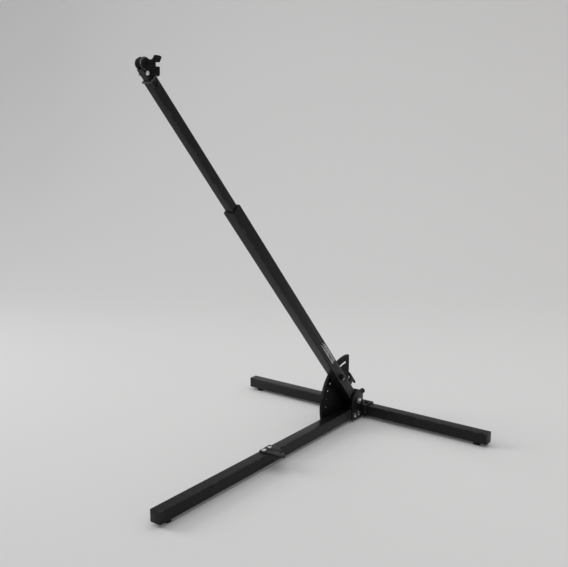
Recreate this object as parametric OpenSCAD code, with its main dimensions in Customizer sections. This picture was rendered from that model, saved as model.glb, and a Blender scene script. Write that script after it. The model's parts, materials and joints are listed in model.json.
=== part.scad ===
// Free-standing leaning mast: a T-shaped floor frame, a tilting telescopic mast
// locked by a pin in a quadrant plate, and a rope sheave at the top.
// Millimetres, +Z up. The origin is on the floor, at the centre of the footprint.
// +Y points to the crossbar end, +X to the side of the pivot bolt's head.

/* [Base] */
// Outside width of the square tube of the floor frame and of the lower mast
tube_w = 50; // [48:1:54]
// Wall thickness of every square tube
tube_wall = 3; // [2.5:0.5:3.5]
// Length of the crossbar
bar_len = 1320; // [900:10:1600]
// Reach of the front leg, from the crossbar's centre line to the leg's end
leg_reach = 1371; // [1200:10:1700]
// Height of a rubber foot
foot_h = 14; // [13:1:20]

/* [Mast] */
// Lean of the mast from upright, at rest
lean = 41.35; // [38:0.05:44]
// Length of the lower mast above the pivot
lower_len = 1307; // [1250:1:1400]
// Distance from the pivot to the top of the upper mast, at rest
upper_top = 1900; // [1860:1:1930]
// Outside width of the upper mast
upper_w = 35; // [34:1:36]
// Distance from the crossbar's centre line forward to the pivot
pivot_back = 72; // [70:1:80]
// Height of the pivot above the floor
pivot_z = 100; // [98:1:108]

/* [Quadrant] */
// Outside radius of the quadrant's rim
quad_r = 212; // [208:1:216]
// Radius of the row of lock holes
lock_r = 181; // [179:0.5:183]
// Angle between two lock holes
lock_pitch = 11.5; // [11:0.25:12]
// Radius of the lock pin
pin_r = 6; // [5.5:0.5:6]

/* [Head] */
// Outside radius of the sheave
sheave_r = 21; // [20:0.5:22]
// Distance between the two head plates
head_gap = 24; // [23.6:0.2:24.4]

/* [Hidden] */

$fn = 96;
e = 0.5; // how far a cutter runs past the face it opens
half = tube_w / 2;
corner_r = 4; // outside corner radius of the tubes
inner_w = tube_w - 2 * tube_wall;
upper_half = upper_w / 2;
bar_y = (leg_reach - half) / 2; // crossbar's centre line, from the footprint's centre
bar_mid_z = foot_h + half;
bar_top = foot_h + tube_w;

// Saddle over the crossbar
saddle_t = 8;
saddle_x = 60;
saddle_bolt_x = 40;
leg_start = -half - saddle_t;

// Hub plates beside the leg
plate_t = 6;
shim_t = 2;
plate_in = half + shim_t;
plate_out = plate_in + plate_t;
cheek_r = 46;
cheek_bottom = 10;
leg_bolt_places = [[-98, 34], [-65, 35]]; // y from the crossbar's centre line, z
rim_w = 15;
rim_t = 5;
quad_back = 15; // the quadrant's back edge, behind the pivot
quad_low = -60; // the quadrant's lower edge, from the pivot
lock_angle = 90 - lean; // angle above the horizontal of the hole used at rest
lowest_step = floor((lock_angle - 1) / lock_pitch);
slot_angles = [65, 86];
lock_hole_r = pin_r + 0.3;
slot_half = lock_hole_r - 0.1; // a little under the round ends' radius

// Pivot
pivot_r = 8;
run_fit = 0.05; // radial clearance of a turning or sliding fit
pivot_washer = [16.5, 3]; // radius, thickness
mast_bottom = 20; // the lower mast's end, below the pivot
thrust_t = 1.9;

// Stop screw behind the mast
stop_z = 14; // above the pivot
stop_r = 8;
stop_tip = 35.4;
back_plate_y = [52, 60]; // behind the pivot
pad_t = 10.2;

// Lug plate on the leg, measured from the crossbar's centre line
lug_t = 6;
lug_y = [-757, -684];
lug_tip = [84, -742]; // centre of the ear's round end
lug_tip_r = 15;
lug_hole = [60, -718];
lug_hole_r = 7;
lug_bolt_places = [[0, -751, 12], [0, -714, 10]]; // x, y, thread diameter

// Lower mast fittings, in distance from the pivot
pin_travel = 7.5;
knob_len = 6;
guard_at = 203;
cleat_at = 80;
cleat_off = 52; // outer side of the horns, from the mast's back
label_at = [306, 460];
bush_len = 45;
index_at = 1270;
index_pitch = 50;
index_r = 4;
index_travel = 5.5;
slide_up = 200;
slide_down = 550;
upper_len = 1110;
shoe_len = 40;

// Head, in distance from the pivot and towards the front of the mast's axis
sheave_at = [1955, -10];
head_t = 6;
head_in = head_gap / 2;
head_out = head_in + head_t;
sheave_half = 9;
axle_r = 6;
neck_w = upper_w - 2 * tube_wall - 0.4;
neck_in_tube = 60;
neck_top = 1951;
neck_bolt_places = [[1879, -4], [1930, 6]];
head_lift = upper_top - 1900; // moves the whole head with the top of the upper mast

// Generic pieces

// Square with round corners, centred
module round_square(w, r) {
    square([w - 2 * r, w], center = true);
    square([w, w - 2 * r], center = true);
    for (i = [-1, 1], j = [-1, 1])
        translate([i * (w / 2 - r), j * (w / 2 - r)]) circle(r, $fn = 48);
}

// Square tube along +Z
module square_tube(w, wall, len, r = corner_r) {
    linear_extrude(len) difference() {
        round_square(w, r);
        round_square(w - 2 * wall, max(r - wall, 1));
    }
}

// Cylinder along X from x0 to x1
module rod_x(r, x0, x1) translate([x0, 0, 0]) rotate([0, 90, 0]) cylinder(r = r, h = x1 - x0);

// Ring along X from x0 to x1
module ring_x(r_out, r_in, x0, x1) difference() {
    rod_x(r_out, x0, x1);
    rod_x(r_in, x0 - e, x1 + e);
}

// Plate in the YZ plane from x0 to x1, drawn as (y, z)
module plate_x(x0, x1) translate([x0, 0, 0]) rotate([90, 0, 90]) linear_extrude(x1 - x0) children();

// Hexagon head or nut along +Z, across flats af
module hex(af, h) cylinder(r = af / sqrt(3), h = h, $fn = 6);

// Hexagon bolt: head on +Z side of z = 0, shank down to -len
module hex_bolt(d, af, head_h, len) {
    hex(af, head_h);
    translate([0, 0, -len]) cylinder(d = d, h = len);
}

// Hexagon nut from z = 0 up, with its thread clear of the bolt
module hex_nut(d, af, h) difference() {
    hex(af, h);
    translate([0, 0, -e]) cylinder(d = d, h = h + 2 * e);
}

// Turns a piece drawn along +Z so that it lies along +X
module along_x() rotate([0, 90, 0]) children();

// Places of the two frames
module at_bar() translate([0, bar_y, 0]) children();
module at_pivot() at_bar() translate([0, -pivot_back, pivot_z]) children();
module at_mast() at_pivot() rotate([lean, 0, 0]) children();
// A place on the mast: t along it from the pivot, n towards its front
module on_mast(t, n) translate([0, -n, t]) children();

// Floor frame

module at_feet() at_bar()
    for (p = [[-(bar_len / 2 - 52), 0], [bar_len / 2 - 52, 0], [0, -(leg_reach - 56)]])
        translate([p[0], p[1], 0]) children();

foot_bolt_r = 3.2;
module crossbar() color("black") difference() {
    at_bar() translate([-bar_len / 2, 0, bar_mid_z]) along_x() square_tube(tube_w, tube_wall, bar_len);
    at_feet() cylinder(r = foot_bolt_r, h = bar_mid_z);
    at_bar() for (s = [-1, 1]) translate([s * saddle_bolt_x, 0, 0]) cylinder(d = 10.4, h = bar_top + e);
}

module front_leg() color("black") difference() {
    at_bar() translate([0, leg_start, bar_mid_z]) rotate([90, 0, 0])
        square_tube(tube_w, tube_wall, leg_reach + leg_start);
    at_feet() cylinder(r = foot_bolt_r, h = bar_mid_z);
    at_bar() for (p = leg_bolt_places)
        translate([0, p[0], p[1]]) rod_x(6.2, -half - e, half + e);
    at_bar() for (p = lug_bolt_places)
        translate([p[0], p[1], 0]) cylinder(d = p[2] + 0.4, h = bar_top + e);
}

cap_depth = 22;
module tube_cap() linear_extrude(cap_depth) round_square(inner_w - 0.2, 1);
module crossbar_end_caps() color("dimgray") at_bar() for (s = [0, 1])
    mirror([s, 0, 0]) translate([bar_len / 2 - cap_depth, 0, bar_mid_z]) along_x() tube_cap();
module leg_end_cap() color("dimgray")
    at_bar() translate([0, cap_depth - leg_reach, bar_mid_z]) rotate([90, 0, 0]) tube_cap();

foot_r = 18;
screw_head_h = 5;
module rubber_feet() color("black") at_feet() difference() {
    cylinder(r1 = foot_r - 2, r2 = foot_r, h = foot_h);
    translate([0, 0, -e]) cylinder(r = foot_bolt_r, h = foot_h + 2 * e);
    translate([0, 0, -e]) cylinder(r = 7, h = screw_head_h + 2 + e);
}
module foot_screws() color("silver") at_feet() {
    translate([0, 0, 2]) cylinder(r = 6, h = screw_head_h);
    translate([0, 0, 2]) cylinder(r = 3, h = foot_h + tube_wall + 6);
}

// Joint between crossbar and leg

module bar_saddle() color("black") at_bar() difference() {
    translate([-saddle_x, -half - saddle_t, foot_h])
        cube([2 * saddle_x, tube_w + 2 * saddle_t, tube_w + saddle_t]);
    translate([-saddle_x - e, -half, foot_h - e]) cube([2 * (saddle_x + e), tube_w, tube_w + e]);
    for (s = [-1, 1]) translate([s * saddle_bolt_x, 0, bar_top - e]) cylinder(d = 10.4, h = saddle_t + 2 * e);
}
saddle_nut_h = 6;
module saddle_bolts() color("silver") at_bar() for (s = [-1, 1])
    translate([s * saddle_bolt_x, 0, bar_top + saddle_t])
        hex_bolt(10, 17, 6.4, tube_w + saddle_t + saddle_nut_h + 2);
module saddle_nuts() color("silver") at_bar() for (s = [-1, 1])
    translate([s * saddle_bolt_x, 0, foot_h - saddle_nut_h]) hex_nut(10, 17, saddle_nut_h);

// Hub

module cheek_shape() difference() {
    union() {
        translate([-pivot_back, pivot_z]) circle(cheek_r);
        translate([-pivot_back - cheek_r, cheek_bottom]) square([2 * cheek_r, pivot_z - cheek_bottom]);
    }
    // clear of the saddle's front flange
    translate([leg_start, 0]) square([2 * cheek_r, bar_top + saddle_t]);
}
module hub_bolt_holes(x0, x1) {
    for (p = leg_bolt_places) translate([0, p[0], p[1]]) rod_x(6.2, x0 - e, x1 + e);
    translate([0, -pivot_back, pivot_z]) rod_x(pivot_r, x0 - e, x1 + e);
}
module near_cheek() color("black") at_bar() difference() {
    plate_x(plate_in, plate_out) cheek_shape();
    hub_bolt_holes(plate_in, plate_out);
}

module quadrant_shape(r) intersection() {
    translate([-pivot_back, pivot_z]) circle(r, $fn = 180);
    translate([-pivot_back - r - e, pivot_z + quad_low]) square([r + e + quad_back, r + e - quad_low]);
}
module at_lock_angle(a) translate([0, -pivot_back, pivot_z]) rotate([-a, 0, 0])
    translate([0, -lock_r, 0]) children();
module lock_cutters() {
    for (i = [0 : lowest_step]) at_lock_angle(lock_angle - i * lock_pitch)
        rod_x(lock_hole_r, -plate_out - e, -plate_in + e);
    for (a = slot_angles) at_lock_angle(a) rod_x(lock_hole_r, -plate_out - e, -plate_in + e);
    translate([-plate_out - e, -pivot_back, pivot_z]) rotate([90, 0, 90]) linear_extrude(plate_t + 2 * e)
        intersection() {
            difference() {
                circle(lock_r + slot_half, $fn = 180);
                circle(lock_r - slot_half, $fn = 180);
            }
            polygon([[0, 0], for (a = slot_angles) 2 * lock_r * [-cos(a), sin(a)]]);
        }
}
module quadrant_plate() color("black") at_bar() difference() {
    plate_x(-plate_out, -plate_in) {
        quadrant_shape(quad_r - rim_t);
        cheek_shape();
    }
    hub_bolt_holes(-plate_out, -plate_in);
    lock_cutters();
}
module quadrant_rim() color("black") at_bar() plate_x(-plate_in - rim_w, -plate_in) difference() {
    quadrant_shape(quad_r);
    translate([-pivot_back, pivot_z]) circle(quad_r - rim_t, $fn = 180);
}

module hub_back_plate() color("black") at_bar() difference() {
    translate([-plate_in, back_plate_y[0] - pivot_back, bar_top + saddle_t])
        cube([2 * plate_in, back_plate_y[1] - back_plate_y[0], 60]);
    translate([0, back_plate_y[0] - pivot_back - e, pivot_z + stop_z]) rotate([-90, 0, 0])
        cylinder(r = stop_r, h = saddle_t + 2 * e);
}

module leg_shims() color("dimgray") at_bar() for (s = [0, 1]) mirror([s, 0, 0]) difference() {
    plate_x(half, plate_in) translate([-pivot_back - cheek_r, foot_h + 2])
        square([leg_start + pivot_back + cheek_r, tube_w - 4]);
    hub_bolt_holes(half, plate_in);
}
module leg_sleeves() color("silver") at_bar() for (p = leg_bolt_places)
    translate([0, p[0], p[1]]) ring_x(9, 6.2, tube_wall - half, half - tube_wall);
leg_nut_h = 10;
module leg_bolts() color("silver") at_bar() for (p = leg_bolt_places)
    translate([plate_out, p[0], p[1]]) along_x() hex_bolt(12, 19, 7.5, 2 * plate_out + leg_nut_h + 2);
module leg_nuts() color("silver") at_bar() for (p = leg_bolt_places)
    translate([-plate_out - leg_nut_h, p[0], p[1]]) along_x() hex_nut(12, 19, leg_nut_h);

pivot_nut_h = 13;
washer_out = plate_out + pivot_washer[1];
module pivot_bolt() color("silver") at_pivot() translate([washer_out, 0, 0]) along_x()
    hex_bolt(2 * pivot_r, 24, 10, 2 * washer_out + pivot_nut_h + 2);
module pivot_washers() color("dimgray") at_pivot() for (s = [0, 1]) mirror([s, 0, 0])
    ring_x(pivot_washer[0], pivot_r, plate_out, washer_out);
module pivot_nut() color("silver") at_pivot() translate([-washer_out - pivot_nut_h, 0, 0]) along_x()
    hex_nut(2 * pivot_r, 24, pivot_nut_h);

stop_head_y = 92;
stop_nut_h = 8;
module at_stop(y) at_pivot() translate([0, y, stop_z]) rotate([-90, 0, 0]) children();
module stop_screw() color("silver") at_stop(stop_head_y) hex_bolt(2 * stop_r, 24, 10, stop_head_y - stop_tip);
module stop_nut() color("silver") at_stop(back_plate_y[1]) hex_nut(2 * stop_r, 24, stop_nut_h);

// Lug plate on the front leg

module lug_plate() color("black") at_bar() difference() {
    translate([0, 0, bar_top]) linear_extrude(lug_t) {
        polygon([[1 - half, lug_y[0]], [lug_tip[0], lug_y[0]], lug_tip,
            lug_tip + lug_tip_r * [0.53, 0.848], [half + 3, lug_y[1]], [1 - half, lug_y[1]]]);
        translate(lug_tip) circle(lug_tip_r);
    }
    translate([lug_hole[0], lug_hole[1], bar_top - e]) cylinder(r = lug_hole_r, h = lug_t + 2 * e);
    for (p = lug_bolt_places) translate([p[0], p[1], bar_top - e])
        cylinder(d = p[2] + 0.4, h = lug_t + 2 * e);
}
lug_nut_h = 8;
module lug_bolts() color("silver") at_bar() for (p = lug_bolt_places) translate([p[0], p[1], bar_top + lug_t])
    hex_bolt(p[2], p[2] + 7, 0.62 * p[2], tube_w + lug_t + lug_nut_h + 2);
module lug_nuts() color("silver") at_bar() for (p = lug_bolt_places)
    translate([p[0], p[1], foot_h - lug_nut_h]) hex_nut(p[2], p[2] + 7, lug_nut_h);

// Lower mast

cleat_screw_gap = 24;
guard_screw_n = 5;
bush_screw_at = lower_len - 17;
module back_holes(places, r) for (p = places) // p is [x, t]
    translate([p[0], half - tube_wall - e, p[1]]) rotate([-90, 0, 0]) cylinder(r = r, h = tube_wall + 2 * e);
cleat_screw_places = [for (s = [-1, 1]) [0, cleat_at + s * cleat_screw_gap]];
bush_screw_places = [for (s = [-1, 1]) [12 * s, bush_screw_at]];

module lower_mast() color("black") at_mast() difference() {
    translate([0, 0, -mast_bottom]) square_tube(tube_w, tube_wall, lower_len + mast_bottom);
    rod_x(11, -half - e, half + e);
    on_mast(lock_r, 0) rod_x(9, -half - e, half + e);
    on_mast(index_at, 0) rod_x(6, -half - e, 0);
    for (s = [-1, 1]) on_mast(guard_at, s * guard_screw_n) rod_x(2, 0, half + e);
    back_holes(cleat_screw_places, 3);
    back_holes(bush_screw_places, 2);
}
module pivot_sleeve() color("silver") at_mast() ring_x(11, pivot_r + run_fit, -half, half);
module thrust_washers() color("white") at_mast() for (s = [0, 1]) mirror([s, 0, 0])
    ring_x(20, pivot_r + run_fit, half, half + thrust_t);

lock_sleeve_out = half + 2;
module lock_pin_sleeve() color("black") at_mast() on_mast(lock_r, 0)
    ring_x(9, pin_r + run_fit, -half, lock_sleeve_out);
guard_size = [12, 18, 16];
module lock_pin_guard() color("black") at_mast() difference() {
    translate([half, -guard_size[1] / 2, guard_at - guard_size[2] / 2]) cube(guard_size);
    for (s = [-1, 1]) on_mast(guard_at, s * guard_screw_n) rod_x(2, half - e, half + guard_size[0] + e);
}
module guard_screws() color("silver") at_mast() for (s = [-1, 1]) on_mast(guard_at, s * guard_screw_n) {
    rod_x(2, half - 5, half + guard_size[0]);
    rod_x(3.6, half + guard_size[0], half + guard_size[0] + 2);
}
module stop_pad() color("black") at_mast() translate([-15, half, 4]) cube([30, pad_t, 20]);

cleat_base = [18, 5, 62];
cleat_post = 34;
horn_len = 92;
horn_t = 15;
// Outline of one horn from its root to its root: distance off the outer side, distance along
horn_points = [[-horn_t, horn_len / 2 - 26], [-12, horn_len / 2 - 3], [-8, horn_len / 2],
    [-4, horn_len / 2 - 2], [0, horn_len / 2 - 22]];
module rope_cleat() color("black") at_mast() translate([0, half, cleat_at]) difference() {
    union() {
        translate([-cleat_base[0] / 2, 0, -cleat_base[2] / 2]) cube(cleat_base);
        translate([-7, 0, -cleat_post / 2]) cube([14, cleat_off - horn_t / 2, cleat_post]);
        plate_x(-7, 7) polygon([for (s = [1, -1]) for (p = horn_points)
            [cleat_off + (s > 0 ? p[0] : -horn_t - p[0]), s * p[1]]]);
    }
    for (s = [-1, 1]) translate([0, -e, s * cleat_screw_gap]) rotate([-90, 0, 0])
        cylinder(r = 3, h = cleat_base[1] + 2 * e);
}
module cleat_screws() color("silver") at_mast() for (p = cleat_screw_places)
    translate([p[0], half + cleat_base[1], p[1]]) rotate([-90, 0, 0]) {
        translate([0, 0, -cleat_base[1] - 6]) cylinder(r = 3, h = cleat_base[1] + 6);
        cylinder(r = 4.8, h = 3);
    }

label_t = 0.4;
module rating_label() color("white") at_mast()
    translate([half, -6, label_at[0]]) cube([label_t, 26, label_at[1] - label_at[0]]);

bush_flange = 2;
module mast_bush() color("black") at_mast() difference() {
    union() {
        translate([0, 0, lower_len - bush_len]) linear_extrude(bush_len) round_square(inner_w - 0.1, 1);
        translate([0, 0, lower_len]) linear_extrude(bush_flange) round_square(tube_w - 2, corner_r);
    }
    translate([0, 0, lower_len - bush_len - e]) linear_extrude(bush_len + bush_flange + 2 * e)
        round_square(upper_w + 0.5, corner_r);
    on_mast(index_at, 0) rod_x(index_r + 0.3, -half, 0);
    for (p = bush_screw_places) translate([p[0], upper_half, p[1]]) rotate([-90, 0, 0])
        cylinder(r = 2, h = half);
}
module bush_screws() color("silver") at_mast() for (p = bush_screw_places)
    translate([p[0], half, p[1]]) rotate([-90, 0, 0]) {
        translate([0, 0, -tube_wall - 3]) cylinder(r = 2, h = tube_wall + 3);
        cylinder(r = 3.6, h = 2);
    }
barrel_out = half + 4.5;
module index_barrel() color("silver") at_mast() on_mast(index_at, 0) {
    ring_x(8, index_r + run_fit, -barrel_out, -half);
    ring_x(6, index_r + run_fit, -half, tube_wall - half);
}

// Lock pin, drawn back so that the mast can swing

knob_in = lock_sleeve_out + pin_travel + 0.5;
module lock_pin() color("silver") at_mast() on_mast(lock_r, 0) rod_x(pin_r, -plate_in + 1, knob_in);
module lock_pin_knob() color("black") at_mast() on_mast(lock_r, 0) rod_x(10, knob_in, knob_in + knob_len);

// Upper mast, moving in the bush and on the glide shoe

upper_bottom = upper_top - upper_len;
module upper_mast() color("black") at_mast() difference() {
    translate([0, 0, upper_bottom]) square_tube(upper_w, tube_wall, upper_len);
    for (s = [-slide_down : index_pitch : slide_up]) on_mast(index_at - s, 0) rod_x(index_r + 0.3, -half, 0);
    on_mast(neck_bolt_places[0][0] + head_lift, neck_bolt_places[0][1]) rod_x(4.2, -half, half);
}
shoe_floor = 5;
module glide_shoe() color("white") at_mast() difference() {
    translate([0, 0, upper_bottom - shoe_floor]) linear_extrude(shoe_len) round_square(inner_w - 0.6, 2);
    translate([0, 0, upper_bottom]) linear_extrude(shoe_len) round_square(upper_w, corner_r);
    translate([0, 0, upper_bottom - shoe_floor - e]) cylinder(r = 10, h = shoe_len);
}
collar_t = 5;
collar_w = upper_w + 6;
module top_collar() color("black") at_mast() translate([0, 0, upper_top])
    linear_extrude(collar_t) difference() {
        round_square(collar_w, 3);
        square(neck_w + 0.2, center = true);
    }

// Head

module at_head() at_mast() translate([0, 0, head_lift]) children();
module at_sheave() at_head() on_mast(sheave_at[0], sheave_at[1]) children();
module neck_block() color("black") at_head() difference() {
    union() {
        translate([-neck_w / 2, -neck_w / 2, upper_top - head_lift - neck_in_tube])
            cube([neck_w, neck_w, neck_in_tube + collar_t]);
        translate([-head_in, -neck_w / 2, upper_top - head_lift])
            cube([head_gap, neck_w, neck_top - upper_top + head_lift]);
    }
    on_mast(sheave_at[0], sheave_at[1]) rod_x(sheave_r + 1.5, -half, half);
    for (p = neck_bolt_places) on_mast(p[0], p[1]) rod_x(4.2, -half, half);
}
// Side on which the head and the nut of each neck bolt sit
neck_bolt_faces = [upper_half, head_in];
neck_nut_h = 6.5;
module neck_bolts() color("silver") at_head() for (i = [0, 1])
    on_mast(neck_bolt_places[i][0], neck_bolt_places[i][1])
    translate([neck_bolt_faces[i], 0, 0]) along_x()
        hex_bolt(8, 13, 5.3, 2 * neck_bolt_faces[i] + neck_nut_h + 1.5);
module neck_nuts() color("silver") at_head() for (i = [0, 1])
    on_mast(neck_bolt_places[i][0], neck_bolt_places[i][1])
    translate([-neck_bolt_faces[i] - neck_nut_h, 0, 0]) along_x() hex_nut(8, 13, neck_nut_h);

lobe_r = 17.5;
// Points of the head plates as [t, n]: shoulder, hook, notch, heel
shoulder = [[1968, -18], [1950, -33]];
hook = [[1948, -45], [1951, -57], [1940, -69], [1929, -76], [1925, -66], [1922, -57], [1933, -43]];
heel = [[1924, -35], [1912, -48], [1893, -30], [1894, -21.5], [1906, -21.5], [1908, -6],
    [1913, 0], [1931, -5]];
far_heel = [[1924, -30], [1906, -21.5], [1906, -6], [1931, -5]];
module head_plate(x0, points) at_head() difference() {
    union() {
        plate_x(x0, x0 + head_t)
            polygon([for (p = concat([sheave_at + [4, 9]], points)) [-p[1], p[0]]]);
        on_mast(sheave_at[0], sheave_at[1]) rod_x(lobe_r, x0, x0 + head_t);
    }
    on_mast(sheave_at[0], sheave_at[1]) rod_x(axle_r, x0 - e, x0 + head_t + e);
}
module head_plate_near() color("black") head_plate(head_in, concat(shoulder, hook, heel));
module head_plate_far() color("black") head_plate(-head_out, concat(shoulder, far_heel));

clip_t = 1.5;
module sheave_axle() color("silver") at_sheave() rod_x(axle_r, -head_out - clip_t - 1.5, head_out);
module axle_clips() color("silver") at_sheave() ring_x(9.5, axle_r, -head_out - clip_t, -head_out);
module sheave_spacers() color("silver") at_sheave() {
    ring_x(sheave_r - 0.5, axle_r + run_fit, sheave_half + 0.2, head_in - 0.1);
    ring_x(11, axle_r + run_fit, 0.1 - head_in, -sheave_half - 0.2);
}

groove_half = 5;
groove_r = 14.5;
bearing_r = 9;
module sheave_core() color("black") at_sheave() ring_x(groove_r, bearing_r, -groove_half, groove_half);
module sheave_flanges() color("black") at_sheave() for (s = [0, 1]) mirror([s, 0, 0])
    ring_x(sheave_r, bearing_r, groove_half, sheave_half);
module sheave_bearing() color("goldenrod") at_sheave()
    ring_x(bearing_r, axle_r + run_fit, -sheave_half, sheave_half);

// Index pin of the upper mast, drawn back so that the mast can slide

index_knob_out = barrel_out + index_travel;
module index_pin() color("silver") at_mast() on_mast(index_at, 0)
    rod_x(index_r, -index_knob_out, -upper_half - 1);
module index_knob() color("black") at_mast() on_mast(index_at, 0)
    rod_x(8, -index_knob_out - knob_len, -index_knob_out);

crossbar();
front_leg();
crossbar_end_caps();
leg_end_cap();
rubber_feet();
foot_screws();
bar_saddle();
saddle_bolts();
saddle_nuts();
near_cheek();
quadrant_plate();
quadrant_rim();
hub_back_plate();
leg_shims();
leg_sleeves();
leg_bolts();
leg_nuts();
pivot_bolt();
pivot_washers();
pivot_nut();
stop_screw();
stop_nut();
lug_plate();
lug_bolts();
lug_nuts();
lower_mast();
pivot_sleeve();
thrust_washers();
lock_pin_sleeve();
lock_pin_guard();
guard_screws();
stop_pad();
rope_cleat();
cleat_screws();
rating_label();
mast_bush();
bush_screws();
index_barrel();
lock_pin();
lock_pin_knob();
upper_mast();
glide_shoe();
top_collar();
neck_block();
neck_bolts();
neck_nuts();
head_plate_near();
head_plate_far();
sheave_axle();
axle_clips();
sheave_spacers();
sheave_core();
sheave_flanges();
sheave_bearing();
index_pin();
index_knob();
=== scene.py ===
# %% [markdown]
# # A leaning telescopic mast on a T-shaped base
#
# A black square-tube mast leans forward over a low T-shaped base. A quadrant plate beside the pivot
# locks the lean, and a small sheave between two plates sits at the mast's top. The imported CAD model
# gives each piece's place and overall size. This notebook adds bevels, threads and finishes.
#
# ## The frame
# Everything is in metres in the frame of the CAD model. The mast has its own frame too: X across,
# Y towards its back and Z along it from the pivot.

# %% Load the frame
import json
import math
import random

import bmesh
import bpy
from mathutils import Matrix, Vector


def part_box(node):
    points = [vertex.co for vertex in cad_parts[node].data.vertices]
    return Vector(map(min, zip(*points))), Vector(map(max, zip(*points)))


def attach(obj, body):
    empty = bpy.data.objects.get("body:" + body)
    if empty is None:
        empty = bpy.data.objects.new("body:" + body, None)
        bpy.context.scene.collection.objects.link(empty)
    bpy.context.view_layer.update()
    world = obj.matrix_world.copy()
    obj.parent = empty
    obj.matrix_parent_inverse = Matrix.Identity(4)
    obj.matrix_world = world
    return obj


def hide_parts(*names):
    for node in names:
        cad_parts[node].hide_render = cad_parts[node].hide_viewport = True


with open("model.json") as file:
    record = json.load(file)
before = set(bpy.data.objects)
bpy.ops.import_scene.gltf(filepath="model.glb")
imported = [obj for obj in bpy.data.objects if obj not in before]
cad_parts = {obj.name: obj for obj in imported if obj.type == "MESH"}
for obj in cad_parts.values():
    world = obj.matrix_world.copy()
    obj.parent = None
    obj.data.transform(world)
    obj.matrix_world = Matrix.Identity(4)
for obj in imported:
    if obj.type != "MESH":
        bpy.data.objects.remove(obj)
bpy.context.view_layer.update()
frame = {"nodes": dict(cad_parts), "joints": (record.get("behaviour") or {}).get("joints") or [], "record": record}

MM = 0.001
WORLD = Matrix.Identity(4)
joints = {joint["name"]: joint for joint in frame["joints"]}
pivot = Vector(joints["mast_tilt"]["pos_m"])
across = Vector((1, 0, 0))
along = Vector(joints["upper_slide"]["axis"]).normalized()
back = along.cross(across)
MAST = Matrix.Translation(pivot) @ Matrix((across, back, along)).transposed().to_4x4()
lean = math.degrees(math.acos(along.z))
print(f"pivot {tuple(round(v, 3) for v in pivot)}, mast leans {lean:.2f} degrees")


# %% [markdown]
# ## Measuring the CAD nodes
# One node can hold a whole row of bolts. `solids` splits a node into its separate solids and gives
# each one's box in a chosen frame, so that a piece is placed from the CAD model and not by hand.

# %% Boxes of the solids in a node
def solids(node, place=WORLD):
    """(lowest corner, highest corner) of each solid of a CAD node, in the frame of place."""
    bm = bmesh.new()
    bm.from_mesh(frame["nodes"][node].data)
    bmesh.ops.remove_doubles(bm, verts=bm.verts, dist=1e-6)
    to_local = place.inverted()
    todo = set(bm.verts)
    found = []
    while todo:
        stack = [todo.pop()]
        island = []
        while stack:
            vert = stack.pop()
            island.append(to_local @ vert.co)
            for edge in vert.link_edges:
                other = edge.other_vert(vert)
                if other in todo:
                    todo.remove(other)
                    stack.append(other)
        low = Vector(min(p[i] for p in island) for i in range(3))
        high = Vector(max(p[i] for p in island) for i in range(3))
        found.append((low, high))
    bm.free()
    return sorted(found, key=lambda box: tuple(round(v, 4) for v in box[0]))


def solid(node, place=WORLD):
    """The box round all the solids of a node, in the frame of place."""
    boxes = solids(node, place)
    low = Vector(min(box[0][i] for box in boxes) for i in range(3))
    high = Vector(max(box[1][i] for box in boxes) for i in range(3))
    return low, high


lower_low, lower_high = solid("lower_mast", MAST)
upper_low, upper_high = solid("upper_mast", MAST)
print(f"lower mast {lower_high.z:.3f} m above the pivot, upper mast {upper_high.z:.3f} m")


# %% [markdown]
# ## Shader maths
# A coat of paint needs dozens of Math nodes, which are hard to read when each is added by hand.
# `Value` wraps a socket so that shader sums read as sums. `Shader` makes one material: `node` adds
# any other node, and `set` joins the result to the Principled shader.

# %% Shader helpers
class Value:
    """A shader socket that makes Math nodes when it is added, multiplied and so on."""

    def __init__(self, shader, socket):
        self.shader = shader
        self.socket = socket

    def math(self, operation, *others):
        node = self.shader.tree.nodes.new("ShaderNodeMath")
        node.operation = operation
        for slot, item in zip(node.inputs, (self, *others)):
            self.shader.plug(slot, item)
        return Value(self.shader, node.outputs[0])

    def __add__(self, other):
        return self.math("ADD", other)

    def __sub__(self, other):
        return self.math("SUBTRACT", other)

    def __mul__(self, other):
        return self.math("MULTIPLY", other)

    __radd__ = __add__
    __rmul__ = __mul__

    def over(self, low, high):
        """0 up to low, 1 from high on, and linear between."""
        scaled = (self - low) * (1.0 / (high - low))
        return scaled.math("MAXIMUM", 0.0).math("MINIMUM", 1.0)


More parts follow.
